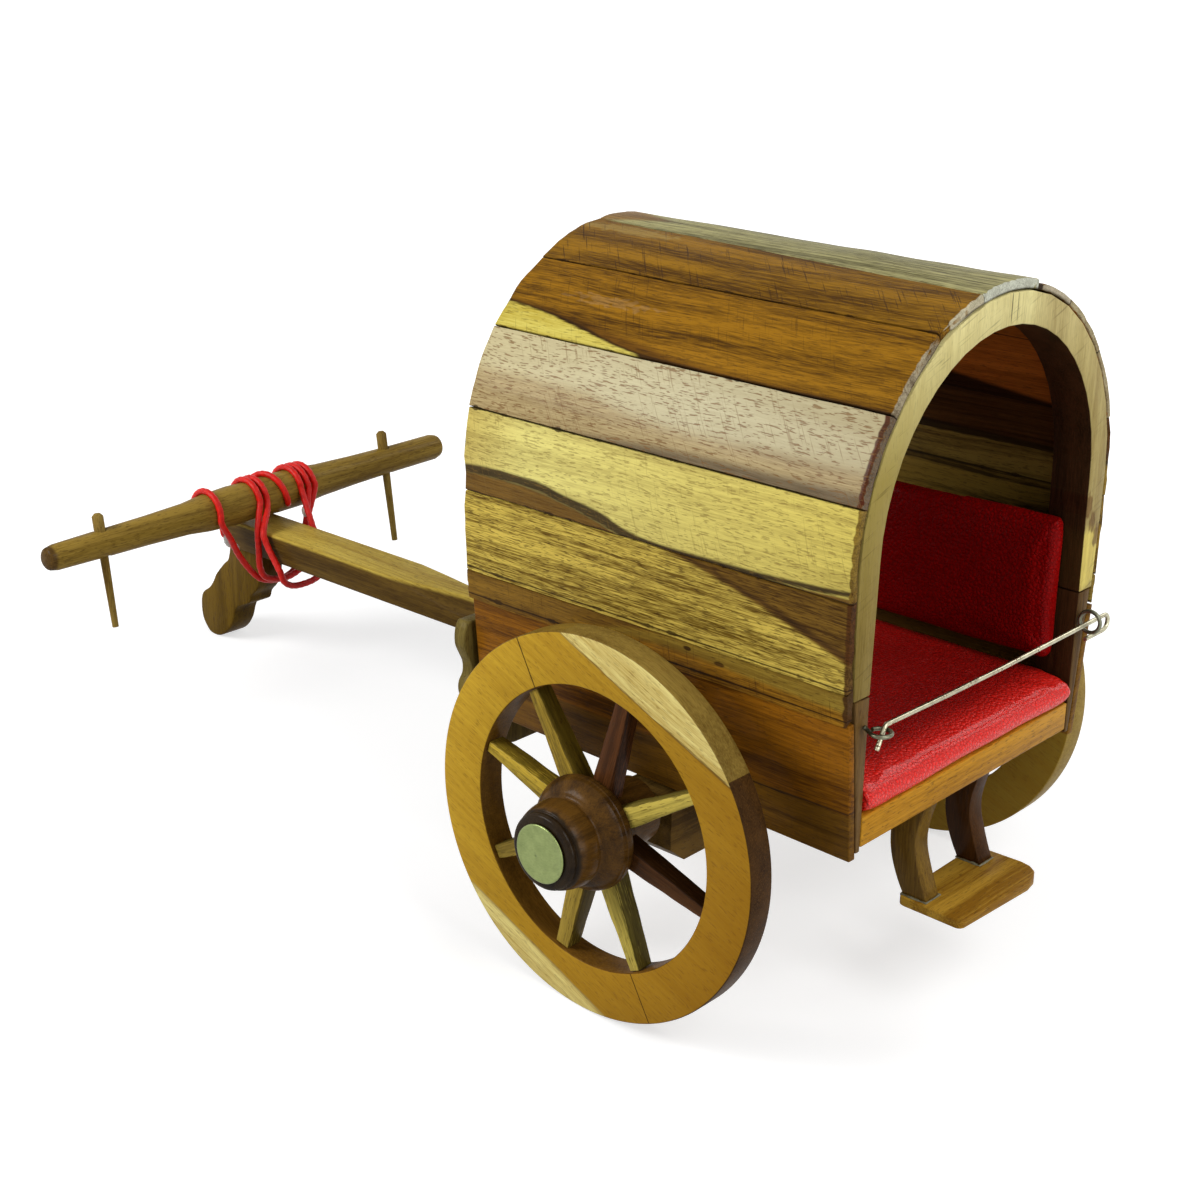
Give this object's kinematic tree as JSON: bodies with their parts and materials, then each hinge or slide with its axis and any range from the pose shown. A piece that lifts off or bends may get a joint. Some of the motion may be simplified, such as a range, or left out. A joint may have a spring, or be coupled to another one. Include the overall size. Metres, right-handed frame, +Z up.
{
  "type": "bullock cart, small wooden souvenir model",
  "caption": "Small lacquered wooden model of a covered bullock cart with red seat padding, spoked wheels, a lashed yoke and a rear step.",
  "frame": {"origin": "on the ground under the middle of the parked model's bounding box", "axes": "+X forwards to the yoke, +Y to the cart's left side, +Z up"},
  "size_m": [0.3153, 0.1856, 0.1862],
  "materials": {
    "rim_wood": "lacquered",
    "walnut": "lacquered",
    "brass": "satin",
    "spoke_wood": "lacquered",
    "floor_wood": "lacquered",
    "arch_wood": "lacquered",
    "post_wood": "lacquered",
    "plank_wood": "lacquered",
    "side_board_wood": "lacquered",
    "leatherette": "glossy, grained",
    "axle_wood": "lacquered",
    "front_board_wood": "lacquered",
    "bracket_wood": "lacquered",
    "step_wood": "lacquered",
    "pole_wood": "lacquered",
    "pole_foot_wood": "lacquered",
    "yoke_wood": "lacquered",
    "pin_wood": "lacquered",
    "red_cord": "twisted cord",
    "steel_wire": "dull, spots of rust"
  },
  "bodies": {
    "cart": {"floor_board": "floor_wood", "rear_arch": "arch_wood", "front_arch": "arch_wood", "rear_post_left": "post_wood", "rear_post_right": "post_wood", "ridge_plank": "plank_wood", "plank_left_1": "plank_wood", "plank_left_2": "plank_wood", "plank_left_3": "plank_wood", "plank_left_4": "plank_wood", "plank_left_5": "plank_wood", "plank_left_6": "plank_wood", "plank_right_1": "plank_wood", "plank_right_2": "plank_wood", "plank_right_3": "plank_wood", "plank_right_4": "plank_wood", "plank_right_5": "plank_wood", "plank_right_6": "plank_wood", "side_board_left": "side_board_wood", "side_board_right": "side_board_wood", "seat_cushion": "leatherette", "side_pad_left": "leatherette", "side_pad_right": "leatherette", "axle_block": "axle_wood", "front_board": "front_board_wood", "step_bracket_left": "bracket_wood", "step_bracket_right": "bracket_wood", "step_board": "step_wood", "pole": "pole_wood", "pole_foot": "pole_foot_wood", "yoke": "yoke_wood", "yoke_pin_left": "pin_wood", "yoke_pin_right": "pin_wood", "lashing": "red_cord", "screw_eye_left": "steel_wire", "screw_eye_right": "steel_wire"},
    "wheel_left": {"wheel_left_rim": "rim_wood", "wheel_left_hub": "walnut", "wheel_left_cap": "brass", "wheel_left_spoke_1": "spoke_wood", "wheel_left_spoke_2": "spoke_wood", "wheel_left_spoke_3": "spoke_wood", "wheel_left_spoke_4": "spoke_wood", "wheel_left_spoke_5": "spoke_wood", "wheel_left_spoke_6": "spoke_wood", "wheel_left_spoke_7": "spoke_wood", "wheel_left_spoke_8": "spoke_wood"},
    "wheel_right": {"wheel_right_rim": "rim_wood", "wheel_right_hub": "walnut", "wheel_right_cap": "brass", "wheel_right_spoke_1": "spoke_wood", "wheel_right_spoke_2": "spoke_wood", "wheel_right_spoke_3": "spoke_wood", "wheel_right_spoke_4": "spoke_wood", "wheel_right_spoke_5": "spoke_wood", "wheel_right_spoke_6": "spoke_wood", "wheel_right_spoke_7": "spoke_wood", "wheel_right_spoke_8": "spoke_wood"},
    "safety_bar": {"safety_bar": "steel_wire"}
  },
  "joints": [
    {"name": "wheel_left_spin", "type": "hinge", "parent": "cart", "child": "wheel_left", "pos_m": [-0.08491, 0, 0.05], "axis": [0, 1, 0], "continuous": true},
    {"name": "wheel_right_spin", "type": "hinge", "parent": "cart", "child": "wheel_right", "pos_m": [-0.08491, 0, 0.05], "axis": [0, 1, 0], "continuous": true},
    {"name": "safety_bar_lift", "type": "hinge", "parent": "cart", "child": "safety_bar", "pos_m": [-0.14574, -0.0472, 0.08851], "axis": [0.9978, 0, -0.0662], "range_deg": [0, 45]}
  ]
}
